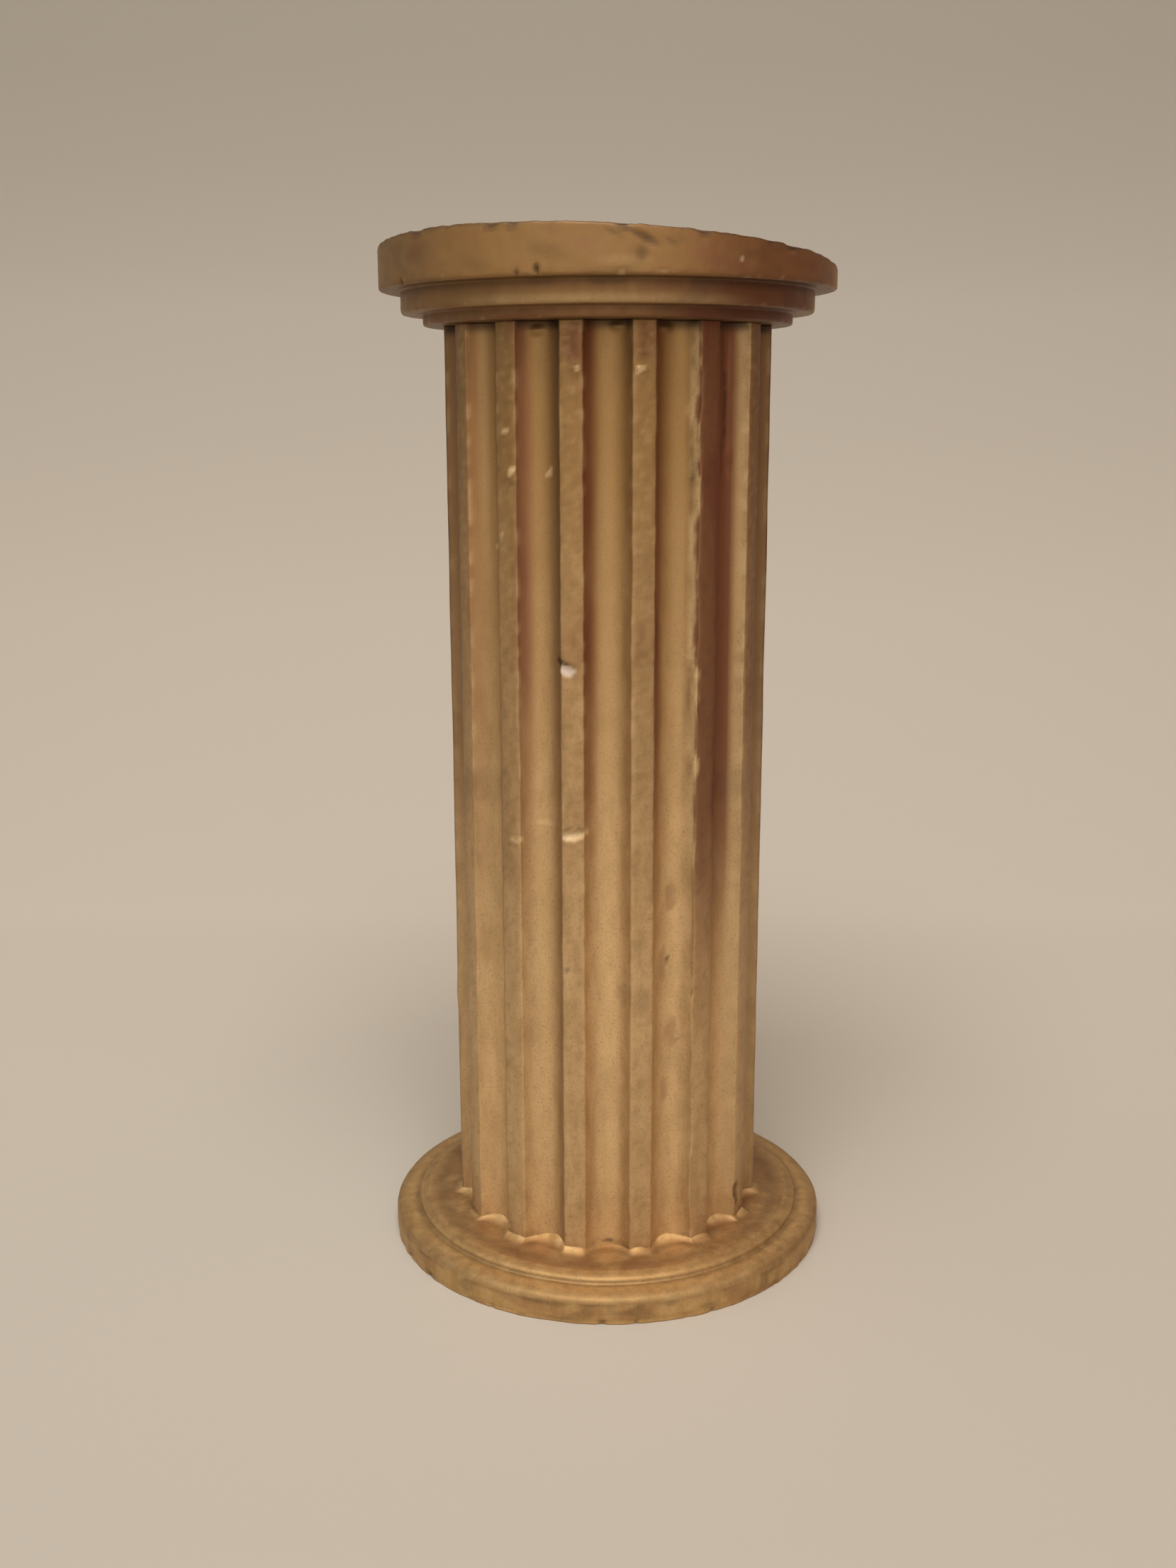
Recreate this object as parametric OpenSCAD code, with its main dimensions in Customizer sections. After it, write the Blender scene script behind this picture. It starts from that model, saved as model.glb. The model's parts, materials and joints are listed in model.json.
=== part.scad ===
// Doric column pedestal: a fluted plaster shaft between a round moulded base and a stepped round capital.
// Millimetres, +Z up. The origin is the middle of the underside, and the middle of a flute faces -Y.
// The three castings stand on each other face to face. A ring's projection is how far its edge
// stands out past the edge of the piece that it is measured from, along the radius.

/* [Column] */
// Height from the floor to the middle of the top face
column_h = 750; // [600:10:1100]

/* [Base] */
// Height of the lower plate of the base
plate_h = 22; // [16:0.5:40]
// Projection of the lower plate from the step on it
plate_out = 19; // [14:0.5:50]
// Width of the rounded shoulder of the lower plate, along the radius
plate_shoulder_w = 12; // [4:0.5:13]
// Height of the rounded shoulder of the lower plate
plate_shoulder_h = 5; // [2:0.5:12]
// Height of the step above the plate
step_h = 6; // [4.5:0.5:20]
// Projection of the step from the shaft
step_out = 34; // [14:0.5:60]
// Width of the rounded shoulder of the step, along the radius
step_shoulder_w = 10; // [3:0.5:12]
// Height of the rounded shoulder of the step
step_shoulder_h = 4; // [1.5:0.5:4]

/* [Shaft] */
// Diameter of the shaft over its flat fillets
shaft_d = 238; // [200:1:320]
// Number of flutes
flute_n = 15; // [12:1:18]
// Width of one flat fillet between two flutes
fillet_w = 16.7; // [8:0.1:19]
// Depth of a flute below the fillets
flute_depth = 12; // [6:0.5:14]

/* [Old knocks in the shaft] */
// Height above the base of the round chip at the edge of the fillet left of the front flute
chip_z = 443; // [60:5:500]
// Diameter of the chip
chip_d = 13; // [6:0.5:16]
// Depth of the chip
chip_depth = 2.2; // [1:0.1:3]
// Height above the base of the slanting nick across the same fillet
nick_z = 325; // [60:5:500]
// Height of the nick
nick_h = 5; // [2:0.5:8]
// Depth of the nick
nick_depth = 1.6; // [0.6:0.1:3]
// Slant of the nick
nick_slant = 7; // [0:1:20]

/* [Capital] */
// Thickness of the lowest disc
neck_h = 8; // [5:0.5:30]
// Projection of the lowest disc from the shaft
neck_out = 15; // [4:0.5:50]
// Thickness of the middle disc
middle_h = 16; // [5:0.5:40]
// Projection of the middle disc from the lowest one
middle_out = 15.5; // [4:0.5:50]
// Thickness of the top slab in its middle
slab_h = 20.5; // [20:0.5:60]
// Projection of the top slab from the middle disc
slab_out = 16; // [4:0.5:50]
// Slope of the top face
top_slope = 4.8; // [0:0.1:5]
// Direction in which the top face falls, seen from above, anticlockwise from +X
fall_side = 57; // [0:1:359]
// Rounding of the lower edges of the discs
edge_r = 1.6; // [0.5:0.1:2.4]

/* [Hidden] */
gold = [0.65, 0.48, 0.29];
front = -90;
arc_steps = 10;
edge_steps = 4;
spare = 1;

base_h = plate_h + step_h;
capital_z = column_h - neck_h - middle_h - slab_h;
shaft_h = capital_z - base_h;

shaft_r = shaft_d / 2;
step_r = shaft_r + step_out;
plate_r = step_r + plate_out;
neck_r = shaft_r + neck_out;
middle_r = neck_r + middle_out;
slab_r = middle_r + slab_out;

pitch = 360 / flute_n;
fillet_angle = 2 * asin(fillet_w / shaft_d);
// The flute's circle passes through both arrises and the lowest line of the flute
arris_x = shaft_r * cos((pitch - fillet_angle) / 2);
flute_floor = shaft_r - flute_depth;
flute_mid = (shaft_r * shaft_r - flute_floor * flute_floor) / (2 * (arris_x - flute_floor));
flute_r = flute_mid - flute_floor;

// The knocks are on the fillet half a pitch to the left of the front
knock_side = front - pitch / 2;
chip_side = knock_side - fillet_angle / 4;
chip_r = (chip_d * chip_d / 4 + chip_depth * chip_depth) / (2 * chip_depth);

// Rounded shoulder from the wall at radius r up to a flat at height z
function shoulder(r, z, w, h) =
    [for (i = [0:arc_steps]) [r - w + w * cos(i * 90 / arc_steps), z - h + h * sin(i * 90 / arc_steps)]];

// Rounded lower edge of a disc of radius r whose underside is at height z
function lower_edge(r, z) =
    [for (i = [0:edge_steps]) [r - edge_r + edge_r * sin(i * 90 / edge_steps),
                               z + edge_r - edge_r * cos(i * 90 / edge_steps)]];

// Round base: a plate and a step, each with a rounded shoulder
module base() {
    color(gold)
        rotate_extrude($fn = 180)
            polygon(concat(
                [[0, 0], [plate_r, 0]],
                shoulder(plate_r, plate_h, plate_shoulder_w, plate_shoulder_h),
                [[step_r, plate_h]],
                shoulder(step_r, base_h, step_shoulder_w, step_shoulder_h),
                [[0, base_h]]));
}

// Plan of the shaft: a circle with round flutes cut in it
module shaft_plan() {
    difference() {
        circle(r = shaft_r, $fn = 180);
        for (i = [0:flute_n - 1])
            rotate(front + i * pitch)
                translate([flute_mid, 0])
                    circle(r = flute_r, $fn = 48);
    }
}

// Shallow bowl knocked out of the edge of a fillet
module chip() {
    rotate(chip_side)
        translate([shaft_r - chip_depth + chip_r, 0, base_h + chip_z])
            sphere(r = chip_r, $fn = 48);
}

// Slanting nick across a fillet, with a flat ledge above and a slope running out below
module nick() {
    reach = nick_depth + spare;
    rotate(knock_side)
        translate([shaft_r - nick_depth, 0, base_h + nick_z])
            rotate([nick_slant, 0, 0])
                rotate([90, 0, 0])
                    linear_extrude(height = 2 * fillet_w, center = true)
                        polygon([[0, 0], [reach, -nick_h * reach / nick_depth], [reach, 0]]);
}

// Fluted shaft with its two old knocks
module shaft() {
    color(gold)
        difference() {
            translate([0, 0, base_h])
                linear_extrude(height = shaft_h)
                    shaft_plan();
            chip();
            nick();
        }
}

// Everything above the sloping top face
module above_top() {
    reach = 2 * slab_r;
    translate([0, 0, column_h])
        rotate([0, 0, fall_side])
            rotate([0, top_slope, 0])
                translate([-reach, -reach, 0])
                    cube([2 * reach, 2 * reach, reach]);
}

// Stepped capital: three discs in one casting, the top one cut to the sloping face
module capital() {
    middle_z = capital_z + neck_h;
    slab_z = middle_z + middle_h;
    highest = column_h + slab_r * tan(top_slope) + spare;
    color(gold)
        difference() {
            rotate_extrude($fn = 180)
                polygon(concat(
                    [[0, capital_z]],
                    lower_edge(neck_r, capital_z),
                    [[neck_r, middle_z]],
                    lower_edge(middle_r, middle_z),
                    [[middle_r, slab_z]],
                    lower_edge(slab_r, slab_z),
                    [[slab_r, highest], [0, highest]]));
            above_top();
        }
}

base();
shaft();
capital();
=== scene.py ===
# %% [markdown]
# # A gilt plaster column
# The real object is a pedestal in the form of a short Doric column. It was cast in plaster in three
# pieces, a round base, a fluted shaft and a stepped capital, then stuck together and brushed with
# gold paint. The construction model gives every piece its true size and place. Here each piece is
# made again as one close mesh, because the charm of the real one is in its faults: wavy arrises,
# a cast seam, knocks, lumps of filler and a worn, patchy gilding.

# %% Load the frame
import json
import math

import bmesh
import bpy
from mathutils import Matrix, Vector, noise


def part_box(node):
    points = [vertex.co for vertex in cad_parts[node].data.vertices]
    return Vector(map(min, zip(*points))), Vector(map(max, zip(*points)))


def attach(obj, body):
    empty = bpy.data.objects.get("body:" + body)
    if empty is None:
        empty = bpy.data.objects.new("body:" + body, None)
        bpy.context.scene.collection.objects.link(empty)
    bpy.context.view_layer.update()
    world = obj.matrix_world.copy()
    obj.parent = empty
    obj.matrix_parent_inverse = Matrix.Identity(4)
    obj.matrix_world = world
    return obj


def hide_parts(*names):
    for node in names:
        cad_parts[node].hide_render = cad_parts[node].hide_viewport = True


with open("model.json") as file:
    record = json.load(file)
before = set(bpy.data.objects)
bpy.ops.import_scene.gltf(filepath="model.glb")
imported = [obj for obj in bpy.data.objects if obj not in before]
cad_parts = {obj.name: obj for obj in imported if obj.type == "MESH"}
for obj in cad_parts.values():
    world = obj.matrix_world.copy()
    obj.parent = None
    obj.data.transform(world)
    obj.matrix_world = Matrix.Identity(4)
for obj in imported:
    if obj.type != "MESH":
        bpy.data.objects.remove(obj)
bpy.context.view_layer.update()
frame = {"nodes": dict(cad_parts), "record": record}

# %% [markdown]
# Everything below is worked out in millimetres, as a plasterer would measure it, and turned to
# metres only when a vertex is placed. The frame gives the heights and the outer radii.

# %% Sizes from the frame
MM = 0.001


def outer_radius(node):
    """Largest distance from the column's axis to a vertex of a construction node, in millimetres."""
    return max(math.hypot(v.co.x, v.co.y) for v in frame["nodes"][node].data.vertices) / MM


base_r = outer_radius("base")
shaft_r = outer_radius("shaft")
slab_r = outer_radius("capital")
base_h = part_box("base")[1].z / MM
capital_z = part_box("capital")[0].z / MM
top_mount = next(m for m in frame["record"]["mounts"] if m["name"] == "top")
top_z = top_mount["pos_m"][2] / MM
top_normal = Vector(top_mount["axis"])
print(f"base radius {base_r:.1f}, shaft radius {shaft_r:.1f}, slab radius {slab_r:.1f} mm")
print(f"shaft from {base_h:.1f} to {capital_z:.1f} mm, middle of the top at {top_z:.1f} mm")

# %% [markdown]
# ## The camera
# The column is seen from a little above its middle, so its sides draw together towards the floor.
# The camera stands almost straight in front of the middle of a flute. Three plain turns, down, to
# the side and round its own axis, are easier to change later than one list of angles.

# %% Camera
camera_data = bpy.data.cameras.new("camera")
camera_data.lens = 37.39
camera_data.sensor_width = 36
camera = bpy.data.objects.new("camera", camera_data)
camera.location = (-0.0021, -1.2327, 0.6504)
down = math.radians(13.121)
turn = math.radians(0.6)
roll = math.radians(-0.132)
tilted = Matrix.Rotation(math.pi / 2 - down, 3, "X") @ Matrix.Rotation(roll, 3, "Z")
camera.rotation_euler = (Matrix.Rotation(turn, 3, "Z") @ tilted).to_euler()
bpy.context.scene.collection.objects.link(camera)
bpy.context.scene.camera = camera
print("camera at", [round(x, 3) for x in camera.location])

# %% [markdown]
# ## Tools of the plasterer
# Cast plaster is never quite true. `wave` is smooth noise that runs from -1 to 1 and has a stated
# size in millimetres, `bump` is a soft mound, 1 in its middle and 0 at its edge, that places a lump,
# a chip or a stain, and `ramp` fades something in. Places on the column are given by a bearing in
# degrees, 0 at the front and growing to the right, and a height in millimetres. Working by bearing
# and height keeps a fault where it is on the real column, whichever mesh lies under it.

# %% Helpers for uneven surfaces


def wave(x, y, z, size, seed=0.0):
    """Smooth noise from about -1 to 1. Its waves are about `size` millimetres long."""
    return noise.noise(Vector((x / size + seed, y / size - seed, z / size + 2.3 * seed)))


def bump(distance):
    """A soft mound: 1 at a distance of 0, falling smoothly to 0 at a distance of 1."""
    return 0.0 if abs(distance) >= 1 else (1 - distance * distance) ** 2


def ramp(value, start, end):
    """Runs smoothly from 0 at start to 1 at end."""
    t = min(1.0, max(0.0, (value - start) / (end - start)))
    return t * t * (3 - 2 * t)


def bearing(x, y):
    """Bearing in degrees, from -180 to 180, of a point in plan."""
    return math.degrees(math.atan2(x, -y))


def turn_from(centre, at):
    """Degrees from one bearing to another, the short way round: from -180 to 180."""
    return (at - centre + 180) % 360 - 180


def spot(at, z, centre, height, wide, tall, radius, slant):
    """How far a place is into an oval spot: 1 in its middle, 0 outside. Sizes are in mm."""
    across = math.radians(turn_from(centre, at)) * radius
    up = z - height - slant * across
    return bump(math.hypot(across / (wide / 2), up / (tall / 2)))


print("a lump halfway out is", round(bump(0.5), 3), "of its height")

# %% [markdown]
# ## Turned pieces
# The base and the capital were run up on a lathe before they were moulded, so each is an outline
# swung round the column's axis. The outline is a chain of edges, cut up finely enough to carry the
# small faults. One sixteenth of the turn is spun first, and then fifteen copies close the skin.

# %% Helpers that turn an outline
SECTORS = 16


def turned(outline, spokes):
    """A closed skin of an outline spun round Z. The outline is (radius, height, spacing) in mm."""
    bm = bmesh.new()
    chain = []
    for (r0, z0, spacing), (r1, z1, _) in zip(outline, outline[1:]):
        parts = max(1, round(math.hypot(r1 - r0, z1 - z0) / spacing))
        chain += [(r0 + (r1 - r0) * i / parts, z0 + (z1 - z0) * i / parts) for i in range(parts)]
    chain.append(outline[-1][:2])
    verts = [bm.verts.new((r * MM, 0, z * MM)) for r, z in chain]
    for a, b in zip(verts, verts[1:]):
        bm.edges.new((a, b))
    sector = 2 * math.pi / SECTORS
    about = dict(cent=(0, 0, 0), axis=(0, 0, 1), dvec=(0, 0, 0))
    bmesh.ops.spin(bm, geom=bm.verts[:] + bm.edges[:], angle=sector, steps=spokes // SECTORS, **about)
    whole = bm.verts[:] + bm.edges[:] + bm.faces[:]
    copies = SECTORS - 1
    bmesh.ops.spin(bm, geom=whole, angle=sector * copies, steps=copies, use_duplicate=True, **about)
    bmesh.ops.remove_doubles(bm, verts=bm.verts, dist=0.02 * MM)
    bmesh.ops.recalc_face_normals(bm, faces=bm.faces)
    return bm


def quarter(r, z, w, h, rising, parts=6):
    """Points of a rounded corner whose flat and wall meet at (r, z), w wide and h high.

    A rising corner starts on its wall and ends on the flat above it. The other kind starts on the
    flat under it and ends on its wall.
    """
    points = []
    for i in range(parts + 1):
        a = i / parts * math.pi / 2
        if rising:
            points.append((r - w + w * math.cos(a), z - h + h * math.sin(a)))
        else:
            points.append((r - w + w * math.sin(a), z + h - h * math.cos(a)))
    return points


def spaced(points, spacing):
    """The same points, each with the spacing that the outline keeps from there on."""
    return [(r, z, spacing) for r, z in points]


print("corner of a rounded edge:", [(round(r, 2), round(z, 2)) for r, z in quarter(10, 0, 1, 1, False, 2)])

# %% [markdown]
# Every piece ends in the same way. Its paint is told by four values on each vertex, its mesh is
# smoothed, and it takes the place of the construction node of the same casting.

# %% Helpers that paint and finish a piece
PAINT = ("dirt_and_shade", "bare", "pale", "ruddy")


def paint_layers(bm):
    """The four values that each vertex carries for its paint."""
    return {key: bm.verts.layers.float.new(key) for key in PAINT}


def brush(vertex, layers, marks):
    """Stores the marks of the paint on a vertex, each held between 0 and 1."""
    for key, value in marks.items():
        vertex[layers[key]] = min(1.0, max(0.0, value))


def finish_piece(name, bm, node, material):
    """Makes a smooth object from a bmesh, and lets it stand for its construction node."""
    mesh = bpy.data.meshes.new(name)
    bm.to_mesh(mesh)
    bm.free()
    mesh.shade_smooth()
    mesh.materials.append(material)
    piece = bpy.data.objects.new(name, mesh)
    bpy.context.scene.collection.objects.link(piece)
    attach(piece, "root")
    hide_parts(node)
    print(f"{name}: {sum(len(p.vertices) - 2 for p in mesh.polygons)} triangles")


print("marks of the paint:", ", ".join(PAINT))

# %% [markdown]
# ## Gilding
# The finish is gold bronze paint: brass powder in a varnish, brushed on in one uneven coat over
# sealed plaster. To the eye that is a satin metal with a warm body colour, not a mirror: the powder
# lies at all angles, so highlights are wide. Where the coat is thin, the red-brown priming shows
# through and the gold looks ruddy; the same ruddy mark also carries painted reflection and painted
# shade. Where the brush skipped, it is grey-olive. Handled edges are pale, and the same pale mark
# also carries painted highlights. Dirt and painted shade share one mark. Four attributes that are
# painted on each mesh say where: `dirt_and_shade`, `bare`, `pale`, `ruddy`.

# %% Colour and node helpers


def srgb(code):
    """An sRGB hex colour as the linear RGBA that the shader sockets expect."""
    parts = [int(code[i:i + 2], 16) / 255 for i in (1, 3, 5)]
    return tuple(c / 12.92 if c <= 0.04045 else ((c + 0.055) / 1.055) ** 2.4 for c in parts) + (1.0,)


def add(tree, kind, settings=None, **inputs):
    """Adds a node. Settings are its own properties; each input is a value or a socket to link."""
    node = tree.nodes.new(kind)
    for key, value in (settings or {}).items():
        setattr(node, key, value)
    for key, value in inputs.items():
        socket = node.inputs[int(key[1:])] if key[0] == "i" and key[1:].isdigit() else node.inputs[key]
        if isinstance(value, bpy.types.NodeSocket):
            tree.links.new(value, socket)
        else:
            socket.default_value = value
    return node


print("gold body colour", [round(c, 3) for c in srgb("#B9945F")[:3]])

# %% [markdown]
# The paint is built up as it was on the column. The body colour comes first, then the unevenness of
# the coat in three real sizes: patches as wide as a brush, strokes as wide as a bristle clump, and
# the grain of the plaster. Over them lie the priming that shows, the rubbed places, the dirt and
# the bare plaster, with painted reflection, highlight and shade in the same layers. The upper half
# of the column is painted a deeper gold, as painted shade.

# %% Gold bronze paint on plaster
PATCH_MM, STROKE_MM = 34, 9
# The grain of real plaster is finer, and is drawn this coarse so that it shows.
GRAIN_MM = 1.6


def gold_paint(name, body, thin, light, dull, upper_shade, satin=0.44):
    """Satin brass-powder paint on plaster.

    Its colours: the normal coat, a thin coat, a rubbed one, a dull one, and the darker gold of the
    upper half, which is painted shade. Satin is the roughness of its smoothest strokes.
    """
    material = bpy.data.materials.new(name)
    material.use_nodes = True
    tree = material.node_tree
    tree.nodes.clear()
    here = add(tree, "ShaderNodeTexCoord").outputs["Object"]
    level = add(tree, "ShaderNodeSeparateXYZ", Vector=here).outputs["Z"]
    marks = {
        key: add(tree, "ShaderNodeAttribute", {"attribute_name": key}).outputs["Fac"] for key in PAINT
    }

    # Size in mm, detail and roughness of each unevenness, and its scale in height: strokes run upright
    kinds = ((PATCH_MM, 3, 0.55, 1), (STROKE_MM, 4, 0.6, 0.35), (GRAIN_MM, 2, 0.6, 1))
    clouds = []
    for size, detail, rough, upright in kinds:
        placed = add(tree, "ShaderNodeMapping", Vector=here, Scale=(1, 1, upright)).outputs["Vector"]
        look = dict(Scale=1 / (size * MM), Detail=detail, Roughness=rough)
        clouds.append(add(tree, "ShaderNodeTexNoise", Vector=placed, **look).outputs["Fac"])
    patches, strokes, grain = clouds

    # What each layer follows, where in that it starts and where it is full, its strength, its colour
    coats = (
        (patches, 0.36, 0.68, 0.5, thin),
        (strokes, 0.46, 0.72, 0.45, light),
        (strokes, 0.5, 0.28, 0.45, dull),
        # The darker gold that comes in with height is painted shade. The ruddy, pale and dirt_and_shade
        # layers hold painted reflection, highlight and shade as well as thin coat, wear and dirt.
        (level, 0.24, 0.62, 0.85, upper_shade),
        (marks["ruddy"], 0, 1, 1, "#74402A"),
        (marks["pale"], 0, 1, 1, "#D0B07F"),
        (grain, 0.52, 0.75, 0.4, "#7A5F40"),
        (marks["dirt_and_shade"], 0, 1, 1, "#3E2C1E"),
        (marks["bare"], 0, 1, 1, "#B09C8A"),
    )
    colour = srgb(body)
    for follows, start, full, strength, code in coats:
        share = add(tree, "ShaderNodeMapRange", i0=follows, i1=start, i2=full, i4=strength).outputs[0]
        layer = add(tree, "ShaderNodeMix", {"data_type": "RGBA"}, i0=share, i6=colour, i7=srgb(code))
        colour = layer.outputs[2]

    # Brass flakes in a varnish are less of a mirror than solid brass. Bare plaster is matt, and no metal.
    coat = add(tree, "ShaderNodeMapRange", i0=strokes, i1=0.3, i2=0.7, i3=satin, i4=satin + 0.14)
    matt = add(tree, "ShaderNodeMath", {"operation": "MULTIPLY"}, i0=marks["bare"], i1=0.9)
    larger = {"operation": "MAXIMUM"}
    rough = add(tree, "ShaderNodeMath", larger, i0=coat.outputs[0], i1=matt.outputs[0]).outputs[0]
    metal = add(tree, "ShaderNodeMapRange", i0=marks["bare"], i1=0, i2=1, i3=0.68, i4=0.0).outputs[0]
    # The marks of the brush are some tenths of a millimetre deep, and the grain is finer still.
    raised = add(tree, "ShaderNodeMath", {"operation": "MULTIPLY_ADD"}, i0=grain, i1=0.35, i2=strokes)
    height = raised.outputs[0]
    dents = add(tree, "ShaderNodeBump", Strength=0.35, Distance=0.6 * MM, Height=height).outputs["Normal"]
    inputs = {"Base Color": colour, "Metallic": metal, "Roughness": rough, "Normal": dents}
    shader = add(tree, "ShaderNodeBsdfPrincipled", **inputs)
    add(tree, "ShaderNodeOutputMaterial", Surface=shader.outputs[0])
    print(f"{name}: {len(tree.nodes)} nodes")
    return material


# The base is rubbed by brooms and shoes, so its gold is duller and its highlights are wider.
base_gold = gold_paint(
    "gold_bronze_paint_base", "#B9945F", "#A8824F", "#CBAC7A", "#98794F", "#B9945F", satin=0.52
)
# The shaft is pale straw gold below, and falls to a deep brown gold in its upper half: painted shade.
shaft_gold = gold_paint(
    "gold_bronze_paint_shaft", "#C5A171", "#B69161", "#D6B688", "#A78C62", "#84602F"
)
# The capital is an old, brownish gold, darker than the shaft.
capital_gold = gold_paint(
    "gold_bronze_paint_capital", "#8A693C", "#785932", "#9A7A4C", "#72623E", "#866338"
)

# %% [markdown]
# ## The shaft
# A Greek shaft has flutes that meet in sharp edges. This one has fifteen flutes with flat fillets
# between them, all the way from the base to the capital. One pitch of its plan, a fillet and a
# flute, is laid out as a chain of edges, repeated round the axis, and drawn up to its full height.
# Flutes could also be cut out of a cylinder, but a plan that is drawn up leaves clean rows of
# vertices, and the faults need those.

# %% Plan of the shaft
FLUTES = 15
FILLET_W = 16.7
FLUTE_DEPTH = 12
PITCH_DEG = 360 / FLUTES
pitch = 2 * math.pi / FLUTES
fillet_half = math.asin(FILLET_W / 2 / shaft_r)
arris_x = shaft_r * math.cos(pitch / 2 - fillet_half)
arris_y = shaft_r * math.sin(pitch / 2 - fillet_half)
flute_floor = shaft_r - FLUTE_DEPTH
flute_mid = (shaft_r ** 2 - flute_floor ** 2) / (2 * (arris_x - flute_floor))
flute_r = flute_mid - flute_floor
flute_half = math.atan2(arris_y, flute_mid - arris_x)
arris_at = math.degrees(pitch / 2 - fillet_half)
print(f"a flute is an arc of radius {flute_r:.1f} mm that spans {math.degrees(2 * flute_half):.0f} degrees")
print(f"the arrises of the front flute are at bearings of {arris_at:.2f} degrees to each side")


def shares(parts, edge):
    """Places from 0 to 1 along a span: its start, a point `edge` in, and even parts from there."""
    return [0.0] + [edge + (1 - 2 * edge) * i / parts for i in range(parts + 1)]


def pitch_plan():
    """Points of one fillet and one flute, in mm, from the fillet's left arris round to the next one."""
    points = []
    for s in shares(5, 0.06):
        a = -fillet_half + 2 * fillet_half * s
        points.append((shaft_r * math.sin(a), -shaft_r * math.cos(a)))
    points.append((shaft_r * math.sin(fillet_half), -shaft_r * math.cos(fillet_half)))
    half = pitch / 2
    for s in shares(14, 0.025)[1:]:
        a = -flute_half + 2 * flute_half * s
        x, y = flute_r * math.sin(a), -(flute_mid - flute_r * math.cos(a))
        points.append((x * math.cos(half) - y * math.sin(half), x * math.sin(half) + y * math.cos(half)))
    last = pitch - fillet_half
    points.append((shaft_r * math.sin(last), -shaft_r * math.cos(last)))
    return points


def in_flute(at):
    """The same bearing, counted from the middle of its own flute: from -12 to 12 degrees."""
    return (at + PITCH_DEG / 2) % PITCH_DEG - PITCH_DEG / 2


def plan_radius(at):
    """Radius of the shaft's plan at a bearing, in mm."""
    a = math.radians(in_flute(at))
    if abs(a) >= math.radians(arris_at):
        return shaft_r
    return flute_mid * math.cos(a) - math.sqrt(flute_r ** 2 - (flute_mid * math.sin(a)) ** 2)


print(f"plan radius {plan_radius(0):.1f} in a flute, {plan_radius(12):.1f} on a fillet")

# %% [markdown]
# The rows lie closer together where there is fine work: at the foot, at the two knocks and under
# the capital. Rows as close as that all the way up would cost almost twice as many faces.

# %% Shaft mesh
ROWS = 262
FINE_BANDS = ((28, 60), (340, 362), (462, 480), (664, 706))
FINE_SHARE = 2.4


def plain_shaft(rows):
    """The shaft as cast from a perfect mould: the plan repeated round the axis, and drawn up."""
    bm = bmesh.new()
    chain = [bm.verts.new((x * MM, y * MM, base_h * MM)) for x, y in pitch_plan()]
    for a, b in zip(chain, chain[1:]):
        bm.edges.new((a, b))
    bmesh.ops.rotate(bm, verts=bm.verts, cent=(0, 0, 0), matrix=Matrix.Rotation(pitch / 2, 3, "Z"))
    bmesh.ops.spin(
        bm, geom=bm.verts[:] + bm.edges[:], cent=(0, 0, 0), axis=(0, 0, 1), dvec=(0, 0, 0),
        angle=2 * math.pi, steps=FLUTES, use_duplicate=True,
    )
    bmesh.ops.remove_doubles(bm, verts=bm.verts, dist=0.01 * MM)
    bmesh.ops.edgeloop_fill(bm, edges=bm.edges[:])
    drawn = bmesh.ops.extrude_face_region(bm, geom=bm.faces[:], use_keep_orig=True)
    raised = [e for e in drawn["geom"] if isinstance(e, bmesh.types.BMVert)]
    bmesh.ops.translate(bm, verts=raised, vec=(0, 0, (capital_z - base_h) * MM))
    upright = [e for e in bm.edges if abs(e.verts[0].co.z - e.verts[1].co.z) > 1 * MM]
    bmesh.ops.subdivide_edges(bm, edges=upright, cuts=rows - 1)
    bmesh.ops.recalc_face_normals(bm, faces=bm.faces)
    return bm


def row_heights(rows, samples=4000):
    """Height of each row in mm. In the fine bands the rows lie FINE_SHARE times as close."""
    weights = []
    for i in range(samples):
        z = base_h + (capital_z - base_h) * (i + 0.5) / samples
        weights.append(FINE_SHARE if any(low <= z <= high for low, high in FINE_BANDS) else 1.0)
    total, heights, run, need = sum(weights), [base_h], 0.0, 1
    for i, w in enumerate(weights):
        run += w
        while need < rows and run >= total * need / rows:
            heights.append(base_h + (capital_z - base_h) * (i + 1) / samples)
            need += 1
    return heights + [capital_z]


shaft_bm = plain_shaft(ROWS)
heights = row_heights(ROWS)
for v in shaft_bm.verts:
    v.co.z = heights[round((v.co.z / MM - base_h) / (capital_z - base_h) * ROWS)] * MM
print("shaft:", len(shaft_bm.verts), "vertices", len(shaft_bm.faces), "faces")

# %% [markdown]
# ### Faults in the shaft
# Each vertex is moved in or out along the radius and sideways round the axis. The arrises wander,
# each in its own way. The one right of the second flute is the worst: a seam of the mould ran along
# it, and its flash was broken off by hand.

# %% Wavering arrises
SEAM_ARRIS, FRAYED_ARRIS = 3, -5
ROUGH_ARRISES = {SEAM_ARRIS: 1.7, 4: 0.6, 5: 0.8, FRAYED_ARRIS: 0.55, -6: 0.4, -3: 0.4, 6: 0.5}
PLAIN_ARRIS = 0.28


def arris_number(at):
    """Number of the nearest arris, even for the left one of a flute and odd for the right one."""
    return 2 * round(at / PITCH_DEG) + (1 if in_flute(at) > 0 else 0)


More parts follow.
